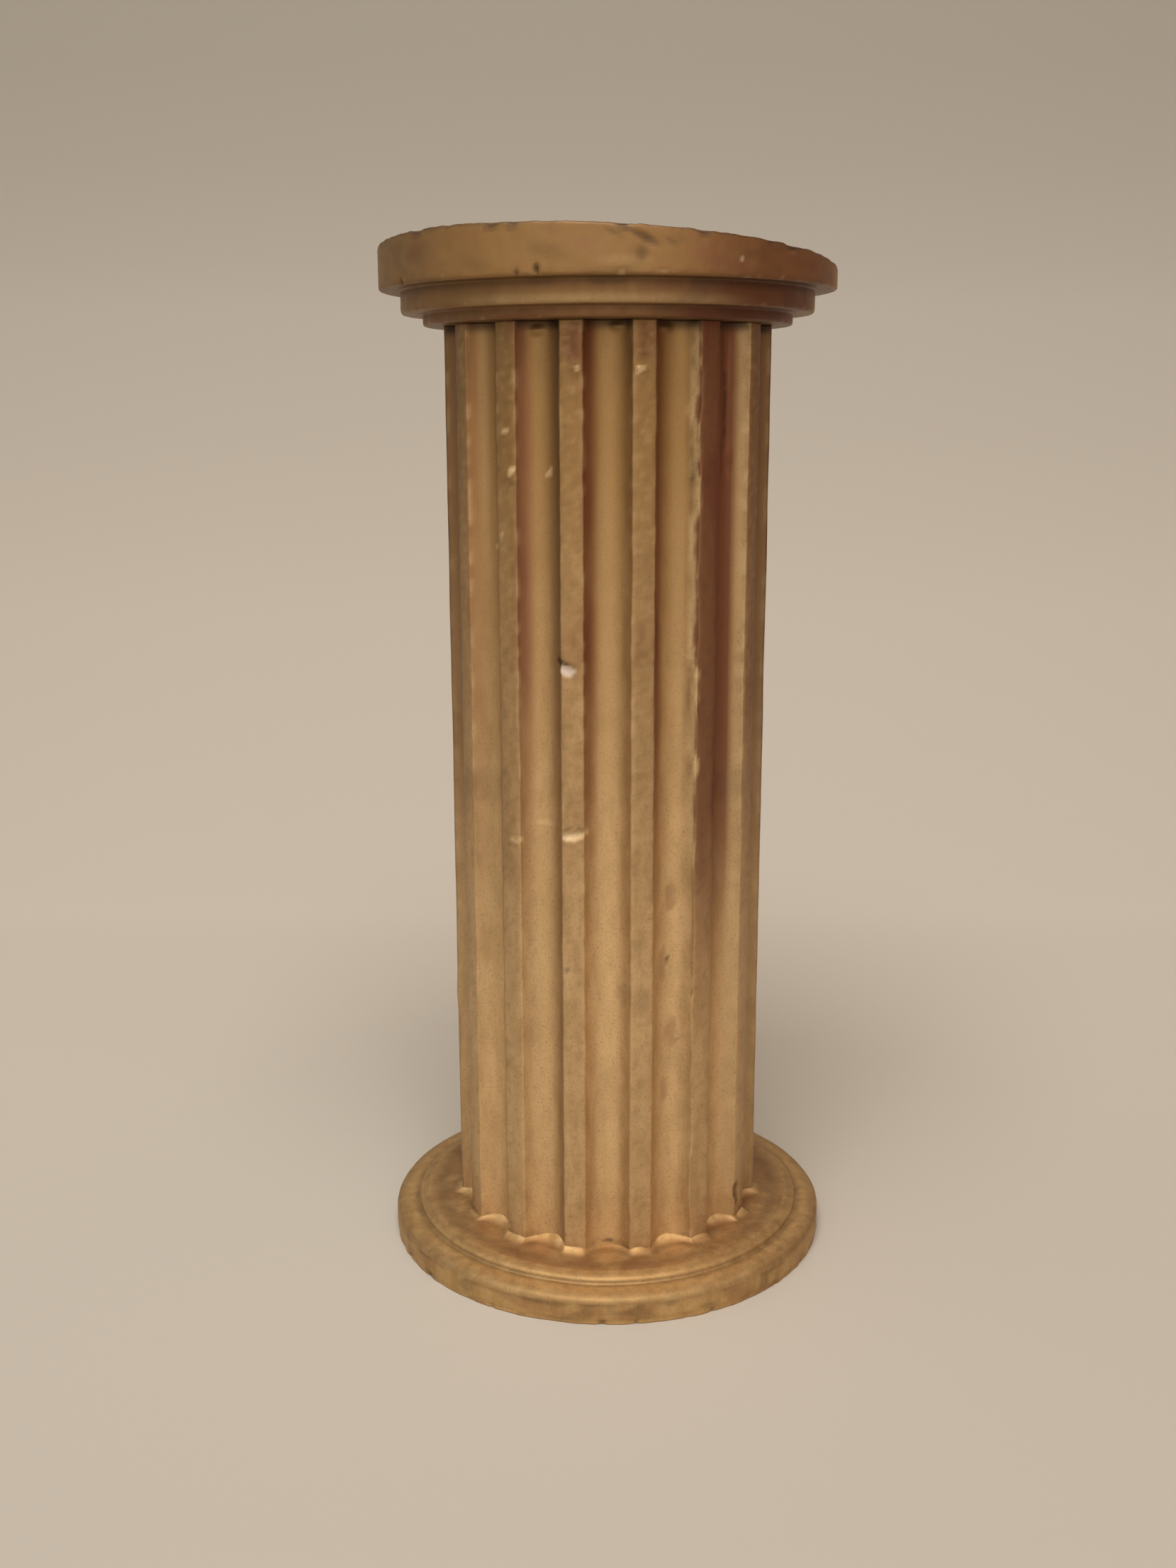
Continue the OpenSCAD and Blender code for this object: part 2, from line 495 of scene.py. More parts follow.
def sideways(at, x, y, z):
    """Sideways wander of the surface near an arris, in mm."""
    number = arris_number(at)
    share = bump(abs(abs(in_flute(at)) - arris_at) / 3.2)
    if share == 0:
        return 0.0
    rough = ROUGH_ARRISES.get(number, PLAIN_ARRIS)
    fine = min(rough, 0.7)
    if number == SEAM_ARRIS:
        rough *= 0.55 + 0.75 * ramp(wave(0, 0, z, 70, 4.1), -0.2, 0.5)
    if number == FRAYED_ARRIS:
        rough *= 1 + 1.5 * bump((z - 668) / 45)
    drift = rough * wave(0, 0, z, 42, number * 1.7) * 1.6 + fine * wave(0, 0, z, 11, number * 2.9) * 0.9
    return share * (drift + 0.35 * rough * wave(x, y, z, 4.5, 7.7))


for number in (SEAM_ARRIS, 4, FRAYED_ARRIS):
    wander = [round(sideways(24 * (number // 2) + 8, 0, 0, z), 1) for z in range(100, 700, 100)]
    print("arris", number, "wander", wander)

# %% [markdown]
# The larger faults are listed with what they are, so that each is easy to find on the column. A dent
# or a lump has a bearing and a height for its middle, a width and a height, a depth that is negative
# when it goes in, and a slant.

# %% Knocks, patches and lumps
SHAFT_LUMPS = [
    ("chip to bare plaster", -14.2, 471.5, 15, 13, -2.4, -0.3),
    ("bruise above the chip", -16.0, 478, 9, 7, -0.8, 0),
    ("slanting nick", -12.0, 353, 26, 10.0, -2.2, 0.2),
    ("small nick on the next fillet", -34.2, 345, 7, 6, -1.5, 0.2),
    ("small nick lower down", -14.0, 255, 8, 5, -1.0, -0.1),
    ("patch of filler, left", -9.8, 690, 12, 33, 1.7, 0),
    ("patch of filler, right", 10.2, 690, 12, 34, 1.7, 0),
    ("foot of the left patch", -9.6, 675, 11, 8, 1.3, 0.1),
    ("foot of the right patch", 10.2, 674, 12, 9, 1.4, -0.1),
    ("lump on the greyish fillet", -35.0, 604, 13, 12, 1.6, 0.3),
    ("run of paint at the right edge", 73.0, 681, 16, 20, 1.6, 0),
    ("knot in the crack", 50.6, 614, 7, 16, 1.4, 0),
    ("kink of the seam", 31.5, 602, 9, 18, 1.6, 0.3),
    ("broken flash", 31.2, 440, 8, 60, 1.0, 0),
    ("bruised arris", 57.0, 52, 8, 18, -2.2, 0),
    ("bump in the left outline", -80.0, 200, 20, 50, 0.9, 0),
    ("hollow in the left outline", -80.0, 160, 20, 36, -0.8, 0),
    ("lump at the head of a flute", -26.0, 699, 13, 9, 2.6, 0),
    ("lump at the head of the front flute", 3.0, 701, 12, 8, 2.2, 0),
    ("lump at the head of the right flute", 21.0, 700, 14, 9, 2.8, 0),
    ("old knock at the back", 160.0, 380, 14, 11, -1.8, 0),
    ("old knock at the left side", -118.0, 300, 10, 13, -1.4, 0.3),
    ("filler at the back", 130.0, 560, 16, 24, 1.2, 0),
]
CRACK_AT, CRACK_DEPTH = 50, 1.6


def seam_at(z):
    """Bearing of the mould's seam at a height: it wavers, most of all half way up."""
    return 31.4 + 0.9 * wave(0, 0, z, 13, 16.0) * ramp(z, 330, 420) + 1.2 * wave(0, 0, z, 48, 17.0)


def shaft_relief(at, x, y, z):
    """How far the surface stands out from the perfect casting, in mm."""
    out = 0.4 * wave(x, y, z, 46, 3.0) + 0.07 * wave(x, y, z, 9, 5.0) + 0.03 * wave(x, y, z, 3.5, 6.0)
    out -= 0.35 * bump(abs(abs(in_flute(at)) - arris_at) / 0.5)
    if in_flute(at) < arris_at:
        out += 0.9 * bump((at - seam_at(z) + 0.5) / 1.1) * ramp(z, 300, 360)
    for _, centre, height, wide, tall, depth, slant in SHAFT_LUMPS:
        if abs(z - height) < tall:
            hit = spot(at, z, centre, height, wide, tall, shaft_r, slant)
            if hit:
                out += depth * hit * (1 + 0.35 * wave(x, y, z, 5, 8.0))
    wavering = CRACK_AT + 0.8 * wave(0, 0, z, 18, 1.0)
    crack = bump((at - wavering) / 1.2) * ramp(z, 596, 606) * ramp(z, 702, 690)
    return out - CRACK_DEPTH * crack


for v in shaft_bm.verts:
    x, y, z = (c / MM for c in v.co)
    if base_h + 1 < z < capital_z - 1:
        at, radius = bearing(x, y), math.hypot(x, y)
        turned_by = math.radians(at) + sideways(at, x, y, z) / radius
        radius += shaft_relief(at, x, y, z)
        v.co = (radius * MM * math.sin(turned_by), -radius * MM * math.cos(turned_by), z * MM)
print(len(SHAFT_LUMPS), "dents and lumps are in the shaft")

# %% [markdown]
# ### Paint on the shaft
# In the upper half the flute sides that face right carry painted reflection and painted shade in
# red-brown, most of all in the dark band right of the seam. Lower down, and down the middles of the
# flutes, the gold is paler: painted light and painted highlight. Dirt sits in the nicks and the
# crack, and painted shade lies under the capital and down both sides. A stain has what it is made
# of, a bearing and a height for its middle, a width and a height, a strength and a slant.

# %% Stains and dull areas of the shaft
SHAFT_STAINS = [
    # The chip, the slanting nick and the small marks beside them; the dark crescent at the upper left of
    # the chip is its painted shadow
    ("bare", -13.6, 470, 16, 11, 1.0, -0.3), ("dirt_and_shade", -15.6, 475.5, 13, 7, 0.6, -0.3),
    ("pale", -12.0, 353, 27, 13, 1.0, 0.2), ("bare", -12.6, 352, 20, 8, 0.25, 0.2),
    ("pale", -34.0, 345, 13, 8, 1.0, 0.2), ("pale", -25.0, 357, 20, 6, 0.4, 0.05),
    ("dirt_and_shade", -14.0, 252, 8, 5, 0.4, 0),
    # Filler under the capital; the pale at the foot of each patch is a painted reflection of the floor
    ("pale", -9.8, 674, 9, 7, 1.0, 0.1), ("pale", 10.2, 673, 9, 8, 1.0, 0),
    ("ruddy", -11.5, 692, 18, 34, 0.6, 0), ("ruddy", 12.0, 692, 18, 34, 0.5, 0),
    # Flecks at the upper left
    ("pale", -36, 632, 5.5, 6, 1.0, 0), ("pale", -43, 614, 5, 6, 0.9, 0),
    ("pale", -33.5, 606, 7, 7, 0.9, 0.4), ("pale", -38.5, 561, 5, 7, 0.9, 0),
    ("pale", -46, 554, 5, 5, 0.8, 0), ("pale", -21.5, 606, 9, 7, 0.9, 0.6),
    ("dirt_and_shade", -33.0, 598, 9, 5, 0.3, 0),
    # The joint at the foot, the crack, and smears half way up
    ("dirt_and_shade", 0.5, 32.5, 13, 4, 0.6, 0), ("dirt_and_shade", 50.0, 650, 3.5, 100, 0.6, 0),
    ("dirt_and_shade", 57.5, 50, 7, 22, 0.6, 0), ("dirt_and_shade", 6.0, 232, 14, 24, 0.16, 0),
    ("dirt_and_shade", 12.5, 228, 14, 26, 0.14, 0), ("dirt_and_shade", 50.0, 378, 60, 30, 0.13, 0),
    ("dirt_and_shade", -51.0, 378, 60, 30, 0.12, 0), ("dirt_and_shade", 24.0, 254, 4, 5, 0.7, 0),
    ("dirt_and_shade", 30.5, 605, 4, 22, 0.4, 0),
    # Thin coat along the lower seam
    ("ruddy", 25.0, 300, 12, 30, 0.5, 0.3), ("ruddy", 22.0, 250, 10, 34, 0.45, 0),
    ("ruddy", 26.0, 196, 13, 40, 0.45, 0), ("ruddy", 23.0, 150, 9, 26, 0.4, 0),
]
# Wide dull areas: strength, bearing and half width in degrees, height and half height in mm
DULL_AREAS = [
    (0.14, -40, 9, 350, 170), (0.13, 12, 4.5, 440, 240),
    (0.17, -53, 6, 300, 180), (0.13, -29, 5, 240, 120),
]
DARK_SIDE_ENDS = 54.2
print(len(SHAFT_STAINS), "stains and", len(DULL_AREAS), "dull areas are on the shaft")

# %% [markdown]
# Three functions tell the priming, the rubbed places and the dirt apart. Each reads where a place
# lies in its flute, how high it is, and whether it is in the dark band right of the seam.

# %% Where the shaft's coat is thin, worn or dirty


def shaft_ruddy(at, place, z, upper, patch, dark_side):
    """How much red-brown shows: thin coat on the fillets, and painted reflection and shade elsewhere."""
    # Painted reflection and shade: red-brown on the upper flute sides that face right.
    ruddy = upper * ramp(place, -2.6, -6.8) * ramp(place, -8.6, -8.0) * (0.7 + 0.4 * patch)
    ruddy *= 0.35 + 0.5 * ramp(at, -62, -30) + 0.35 * ramp(at, 5, 20)
    ruddy += 0.25 * ramp(patch, 0.1, 0.5) * upper * ramp(abs(place), 8.0, 8.6)
    # Painted reflection: the dark red-brown band right of the seam, and the right side of the upper shaft.
    ruddy += 0.7 * ramp(z, 170, 400) * dark_side
    return ruddy + 0.2 * ramp(at, 24, 62) * ramp(at, 120, 90) * upper


def shaft_pale(at, place, x, y, z, upper, fleck, seam, dark_side):
    """How pale the coat is: painted highlight in the flutes and painted light below, rubbed arrises and
    flecks, and the seam.
    """
    # Painted highlight down the middles of the flutes, and painted light on the whole lower half.
    pale = 0.3 * (1 - upper) * ramp(abs(place), 6.5, 2.0) + 0.05 * upper * ramp(abs(place), 4.2, 1.0)
    pale += 0.16 * ramp(fleck, 0.1, 0.5) * ramp(abs(place), 7.8, 8.6)
    pale += 0.3 * bump(abs(abs(place) - arris_at) / 0.9) * ramp(wave(x, y, z, 13, 14.0), -0.1, 0.35)
    pale = pale * (1 - dark_side) + 0.6 * bump((at - seam + 0.4) / 1.1) * ramp(z, 260, 380)
    pale += 0.4 * bump((at - 55.2) / 2.2) + 0.2 * ramp(z, 500, 600) * bump((at + 52) / 3.0)
    return pale + 0.25 * bump((at - 53.5) / 4) * ramp(z, 340, 260)


def shaft_dirt_and_shade(at, place, x, y, z, upper, fleck, dark_side):
    """How dark the coat is: dirt on the fillets and at the foot, and painted shade under the capital, on
    the flute walls, in the dark band and at both sides.
    """
    dirt_and_shade = 0.13 * ramp(fleck, -0.1, -0.5) * ramp(abs(place), 7.8, 8.6)
    # Painted shade under the capital.
    dirt_and_shade += 0.75 * ramp(z, capital_z - 9, capital_z - 1) * ramp(abs(place), 9, 7)
    dirt_and_shade += 0.25 * ramp(z, base_h + 9, base_h + 2) * ramp(wave(x, y, z, 9, 15.0), -0.1, 0.3)
    # Painted shade: the right walls of the flutes are darker, more so left of the front, and so is the dark
    # band right of the seam.
    dirt_and_shade += 0.2 * ramp(place, 3.5, 7.0) * ramp(place, 8.4, 7.9) + 0.13 * ramp(abs(place), 7.8, 8.3)
    dirt_and_shade += 0.12 * dark_side * ramp(z, 170, 400)
    dirt_and_shade += 0.24 * ramp(place, 0.5, 4.5) * ramp(place, 8.5, 8.0) * ramp(at, -6, -18) * ramp(at, -76, -64)
    for strength, centre, half_width, height, half_height in DULL_AREAS:
        dirt_and_shade += strength * bump((at - centre) / half_width) * bump((z - height) / half_height)
    # Painted shade: both sides of the shaft are darker than its front, most at the top.
    sides = 0.42 * ramp(at, -58, -68) * ramp(at, -104, -92) + 0.28 * ramp(at, 57, 64) * ramp(at, 104, 92)
    return dirt_and_shade + sides * (0.6 + 0.4 * upper)


def shaft_paint(at, x, y, z):
    """The four marks of the paint at a place on the shaft."""
    place = in_flute(at)
    upper = ramp(z, 250, 470)
    fleck = wave(x, y, z, 5, 11.0)
    patch = wave(x, y, 0.35 * z, 22, 12.0)
    seam = seam_at(z)
    # The dark band right of the seam is painted reflection and shade.
    dark_side = ramp(at, seam, seam + 0.9) * ramp(at, DARK_SIDE_ENDS, DARK_SIDE_ENDS - 2)
    marks = {
        "dirt_and_shade": shaft_dirt_and_shade(at, place, x, y, z, upper, fleck, dark_side),
        "bare": 0.0,
        "pale": shaft_pale(at, place, x, y, z, upper, fleck, seam, dark_side),
        "ruddy": shaft_ruddy(at, place, z, upper, patch, dark_side),
    }
    uneven = 1 + 0.5 * fleck
    for key, centre, height, wide, tall, strength, slant in SHAFT_STAINS:
        if abs(z - height) < tall:
            hit = spot(at, z, centre, height, wide * uneven, tall * uneven, shaft_r, slant)
            marks[key] += strength * ramp(hit, 0, 0.4)
    return marks


shaft_layers = paint_layers(shaft_bm)
for v in shaft_bm.verts:
    x, y, z = (c / MM for c in v.co)
    brush(v, shaft_layers, shaft_paint(bearing(x, y), x, y, z))
finish_piece("fluted_shaft", shaft_bm, "shaft", shaft_gold)

# %% [markdown]
# ## The base
# A plate and a lower step, each with a rounded shoulder that falls to a crisp wall. Both were turned
# in one, so one outline is swung round the axis. Its points lie close together where the edges
# break up, and wide apart under the shaft, where nothing shows.

# %% Base mesh
PLATE_H = 22
STEP_OUT = 34
PLATE_SHOULDER = (12, 5)
STEP_SHOULDER = (10, 4)
SPOKES = 640
fine, coarse = 1.6, 9
step_r = shaft_r + STEP_OUT
inner = flute_floor - 8
base_outline = (
    [(0, 0, coarse), (inner, 0, 5), (base_r - 1.2, 0, 1)]
    + spaced(quarter(base_r, 0, 1.2, 1.2, False, 2), fine)
    + spaced(quarter(base_r, PLATE_H, *PLATE_SHOULDER, True, 8), fine)
    + [(step_r, PLATE_H, fine)]
    + spaced(quarter(step_r, base_h, *STEP_SHOULDER, True, 7), fine)
    + [(inner, base_h, coarse), (0, base_h, coarse)]
)
base_bm = turned(base_outline, SPOKES)
print("base:", len(base_bm.verts), "vertices")

# %% [markdown]
# The shaft was bedded on the base with wet plaster, which was pushed into the corner with a finger
# and left as lumps. The filler is raised out of the base's own top, so that it runs into the step
# without a seam. A foot lump has a bearing, a half width in degrees and a height in mm; a nib, a
# bite out of the lowest edge, has a bearing and a width in degrees.

# %% Filler at the foot of the shaft
FOOT_LUMPS = [
    (-75, 10, 4), (-50.6, 8, 5), (-41, 6, 2.5), (-34.3, 6, 3), (-24, 8, 4.5), (-18.5, 6, 3), (-12, 6, 3.2),
    (11.5, 5, 3.4), (25, 8, 5), (36, 7, 2.2), (51, 8, 5), (63, 6, 3), (76, 9, 4), (100, 8, 4), (128, 10, 4),
    (150, 7, 3), (-165, 9, 4), (-140, 8, 3), (-118, 7, 4), (-98, 8, 4),
]
EDGE_NIBS = [
    (-64, 4), (-52.6, 5), (-30, 3), (-1.2, 4), (6.9, 4), (26.7, 5), (48, 3), (140, 6), (-130, 5), (100, 4),
]


def filler(at, radius, x, y):
    """Height of the filler in the corner between the shaft and the base, in mm."""
    gap = radius - plan_radius(at)
    lumps = sum(h * bump(turn_from(c, at) / w) for c, w, h in FOOT_LUMPS)
    tall = 1.6 + 1.0 * wave(x, y, 0, 16, 21.0) + 0.8 * lumps
    reach = 4.0 + 0.75 * tall + 1.0 * wave(x, y, 0, 12, 22.0)
    if gap >= reach or tall <= 0:
        return 0.0
    share = 1 - max(0.0, gap) / reach
    return tall * share ** 1.3 * (1 + 0.12 * wave(x, y, 0, 6, 23.0))


def nibbled(at, x, y):
    """Depth in mm to which the lowest edge of the base has crumbled."""
    nibs = sum(bump(turn_from(c, at) / (w / 4)) for c, w in EDGE_NIBS)
    return 0.5 + 0.9 * wave(x, y, 0, 9, 37.0) + nibs


print(len(FOOT_LUMPS), "lumps of filler and", len(EDGE_NIBS), "nibs in the edge")

# %% [markdown]
# The shoulders catch the light, and there the colour is darkened with painted shade to tone down
# their highlights. Painted shade also lies in the groove between plate and step, along the top of
# the wall, on the flat next to the shaft and on the sides away from the front. Dirt and red-brown
# streaks run along the wall.

# %% Relief and paint of the base


def base_relief(radius, at, x, y, z):
    """How far a place of the base stands out and up, in mm."""
    if radius <= inner - 1:
        return 0.0, 0.0
    out = up = 0.0
    if z > base_h - 0.1 and radius < step_r - 10:
        up = filler(at, radius, x, y)
    if z > 1:
        rough = 0.3 * wave(x, y, z, 30, 31.0) + 0.14 * wave(x, y, z, 7, 32.0)
        out = rough - 0.45 * ramp(radius, base_r - 3, base_r - 0.5)
    if z > PLATE_H - 4:
        up += 0.25 * wave(x, y, z, 24, 36.0)
    if radius > base_r - 2.5 and z < 4:
        out -= max(0.0, nibbled(at, x, y))
    return out, up


def base_paint(radius, at, x, y, z):
    """The marks of the paint at a place on the base."""
    dirt_and_shade = pale = ruddy = 0.0
    if radius <= inner - 1:
        return {"dirt_and_shade": dirt_and_shade, "pale": pale, "ruddy": ruddy}
    if z > base_h - 0.1 and radius < step_r - 10:
        tall = filler(at, radius, x, y)
        lift = ramp(tall, 0.8, 4.0)
        # Painted highlight on the tops of the tall lumps, and painted shade and red-brown on the flat next
        # to the shaft where the filler is low.
        pale += 0.6 * lift * ramp(wave(x, y, 0, 9, 34.0), -0.5, 0.1)
        dirt_and_shade += 0.22 * ramp(tall, 0.9, 0.2) * bump((radius - plan_radius(at) - 6) / 9)
        ruddy += (0.2 + 0.25 * ramp(wave(x, y, 0, 26, 35.0), -0.1, 0.4)) * (1 - lift)
    if radius > base_r - 2.5 and z < 4:
        dirt_and_shade += 0.35 * ramp(nibbled(at, x, y), 0.6, 1.6)
    if base_r - 1.5 < radius and 1 < z < 17:
        dirt_and_shade += 0.3 * ramp(wave(x, y, 2 * z, 16, 38.0), 0.05, 0.5)
        ruddy += 0.3 * ramp(wave(x, y, 2 * z, 28, 39.0), 0.0, 0.4)
    # Painted shade: the crests, the sides, the groove, the top of the plate's wall and the flat next to the
    # shaft are darkened.
    plate_crest = bump((radius - base_r + 3.5) / 8) * ramp(z, 16, 18.5)
    step_crest = bump((radius - step_r + 4) / 7) * ramp(z, 23, 25)
    dirt_and_shade += (plate_crest + step_crest) * (0.24 + 0.16 * wave(x, y, z, 11, 40.0))
    dirt_and_shade += 0.1 * ramp(abs(at), 20, 60)
    inside, outside = ramp(radius, step_r - 1, step_r - 0.2), ramp(radius, step_r + 6, step_r + 1.5)
    groove = inside * outside * ramp(z, 26, 23)
    dirt_and_shade += 0.42 * groove * (0.8 + 0.4 * wave(x, y, z, 14, 41.0))
    dirt_and_shade += 0.16 * ramp(radius, base_r - 4, base_r - 1) * ramp(z, 12, 18)
    dirt_and_shade += 0.24 * bump((radius - step_r + 17) / 9) * ramp(z, 26, 27)
    return {"dirt_and_shade": dirt_and_shade, "pale": pale, "ruddy": ruddy}


base_layers = paint_layers(base_bm)
for v in base_bm.verts:
    x, y, z = (c / MM for c in v.co)
    radius, at = math.hypot(x, y), bearing(x, y)
    out, up = base_relief(radius, at, x, y, z)
    brush(v, base_layers, base_paint(radius, at, x, y, z))
    share = (radius + out) / radius if radius > 1 else 1.0
    v.co = (x * share * MM, y * share * MM, (z + up) * MM)
finish_piece("round_base", base_bm, "base", base_gold)

# %% [markdown]
# ## The capital
# Three plain discs, cast as one. The top was levelled by eye and slopes down to the right and back.
# The outline is swung with a level top, and the slab is then sheared to the slope, which keeps its
# rows of vertices unbroken where a cut would leave slivers.

# %% Capital mesh
NECK_H, NECK_OUT = 8, 15
MIDDLE_H, MIDDLE_OUT = 16, 15.5
EDGE_R, RIM_R = 1.6, 1.5
neck_r = shaft_r + NECK_OUT
middle_r = neck_r + MIDDLE_OUT
middle_z = capital_z + NECK_H
slab_z = middle_z + MIDDLE_H
capital_outline = (
    [(0, capital_z, coarse), (inner, capital_z, 2.4)]
    + spaced(quarter(neck_r, capital_z, EDGE_R, EDGE_R, False, 3), fine)
    + [(neck_r, middle_z, 2.2)]
    + spaced(quarter(middle_r, middle_z, EDGE_R, EDGE_R, False, 3), fine)
    + [(middle_r, slab_z, 2.2)]
    + spaced(quarter(slab_r, slab_z, EDGE_R, EDGE_R, False, 3), 1.3)
    + spaced(quarter(slab_r, top_z, RIM_R, RIM_R, True, 3), 1.6)
    + [(slab_r - 5, top_z, 3), (slab_r - 16, top_z, 8), (0, top_z, coarse)]
)
capital_bm = turned(capital_outline, SPOKES)
print("capital:", len(capital_bm.verts), "vertices")


def sloped(x, y, flat):
    """Height in mm of a place of the slab, once its level top is sheared to the slope."""
    if flat <= slab_z:
        return flat
    top = top_z - (top_normal.x * x + top_normal.y * y) / top_normal.z
    return slab_z + (flat - slab_z) / (top_z - slab_z) * (top - slab_z)


front_z, back_z = sloped(0, -slab_r, top_z), sloped(0, slab_r, top_z)
print(f"the top is {front_z:.1f} mm high in front and {back_z:.1f} mm at the back")

# %% [markdown]
# The rim is ragged, and the lower edges are nicked. Lumps and stains are listed as for the shaft. A
# dent of the rim has a bearing, a width in degrees and a depth in mm.

# %% Knocks and stains of the capital
CAPITAL_LUMPS = [
    ("nick in the lower edge", -16.1, 733, 4.5, 8, -2.4, 0),
    ("small nick beside it", -20.8, 731.5, 4, 5, -1.6, 0),
    ("gouge", 8.6, 751, 19, 7, -1.4, -0.5),
    ("bruise below the gouge", 8.0, 743, 11, 12, -0.5, 0),
    ("nick at the left", -58, 731, 5, 5, -1.8, 0),
    ("knock at the back", 150, 733, 9, 8, -2.2, 0),
    ("dent in the wall", -40, 748, 16, 12, -0.5, 0),
    ("dent in the wall, right", 34, 742, 14, 10, -0.5, 0),
]
CAPITAL_STAINS = [
    ("dirt_and_shade", -16.1, 733.5, 4.5, 9, 0.8, 0), ("dirt_and_shade", -20.8, 731.5, 4.5, 5, 0.6, 0),
    ("dirt_and_shade", 8.6, 751, 19, 7, 0.6, -0.5), ("dirt_and_shade", 7.5, 742, 10, 12, 0.35, 0),
    ("bare", 31.4, 741, 4, 3, 0.9, 0), ("pale", 3, 739, 40, 8, 0.12, 0),
    ("dirt_and_shade", -58, 731, 5, 5, 0.6, 0), ("dirt_and_shade", 1, 756, 14, 5, 0.35, -0.5),
    ("dirt_and_shade", 5, 757, 12, 5, 0.4, -0.6), ("dirt_and_shade", 14, 750, 10, 4, 0.35, -0.6),
    ("dirt_and_shade", -50, 748, 34, 16, 0.16, 0),
]
RIM_DENTS = [
    (-27, 5, 1.7), (-21.8, 4, 1.2), (-50, 6, 1.2), (3, 4, 0.9), (22, 5, 1.5), (47, 6, 1.3), (120, 9, 1.8),
    (-140, 8, 1.6),
]
print(len(CAPITAL_LUMPS), "knocks,", len(CAPITAL_STAINS), "stains and", len(RIM_DENTS), "dents in the rim")

# %% [markdown]
# Each place of the capital is asked where it lies: on the rim, on a lower edge, on a wall, on an
# underside or on the top. The right side carries painted reflection and painted shade in red-brown,
# the undersides and the two lower discs painted shade, and the lower front of the middle disc a
# painted highlight.

# %% Relief and paint of the capital


def crumbled(at, x, y):
    """Depth in mm to which the top rim has crumbled at a bearing."""
    ragged = 0.45 + 0.7 * wave(x, y, 0, 10, 53.0) + 0.35 * wave(x, y, 0, 3.5, 54.0)
    return ragged + sum(d * bump(turn_from(c, at) / (w / 2)) for c, w, d in RIM_DENTS)


def edge_chips(radius, x, y, flat):
    """Depth in mm of the small chips along the lower edges of the three discs."""
    for r, low in ((slab_r, slab_z), (middle_r, middle_z), (neck_r, capital_z)):
        if r - 2.2 < radius < r + 0.1 and low - 0.1 < flat < low + 2:
            return max(0.0, 0.25 + 0.9 * wave(x, y, flat, 8, 55.0))
    return 0.0


def capital_relief(radius, at, x, y, z, flat):
    """How far a place of the capital stands out, and how far it is worn down, in mm."""
    if radius <= inner - 1 or flat <= capital_z + 0.2:
        return 0.0, 0.0
    out = 0.3 * wave(x, y, z, 32, 51.0) + 0.12 * wave(x, y, z, 7, 52.0)
    drop = 0.0
    if radius > slab_r - 3:
        out -= 0.45
    if radius > slab_r - 6:
        for _, centre, height, wide, tall, depth, slant in CAPITAL_LUMPS:
            if abs(z - height) < tall + 4:
                out += depth * spot(at, z, centre, height, wide * 1.2, tall * 1.2, slab_r, slant)
        if flat > top_z - 3:
            drop = max(0.0, crumbled(at, x, y)) * ramp(radius, slab_r - 6, slab_r - 1.5)
    return out - 0.7 * edge_chips(radius, x, y, flat), drop


def slab_marks(marks, radius, at, x, y, z, flat, patch):
    """Adds the marks of the slab: its rim, its stains and its worn middle."""
    if flat > top_z - 3:
        marks["dirt_and_shade"] += 0.22 * ramp(crumbled(at, x, y), 0.5, 1.4)
        # Painted shade along the rounding of the rim, in place of a highlight.
        marks["dirt_and_shade"] += 0.4 * ramp(flat, top_z - 1.7, top_z - 0.9) * ramp(radius, slab_r - 4, slab_r - 2)
    for key, centre, height, wide, tall, strength, slant in CAPITAL_STAINS:
        if abs(z - height) < tall + 3:
            marks[key] += strength * spot(at, z, centre, height, wide * 1.25, tall * 1.25, slab_r, slant)
    if radius > slab_r - 3:
        marks["pale"] += 0.05 * ramp(patch, 0.0, 0.4) * bump(at / 50)
        marks["dirt_and_shade"] += 0.2 * ramp(at, -34, -52) + 0.16 * bump((at + 3) / 26)


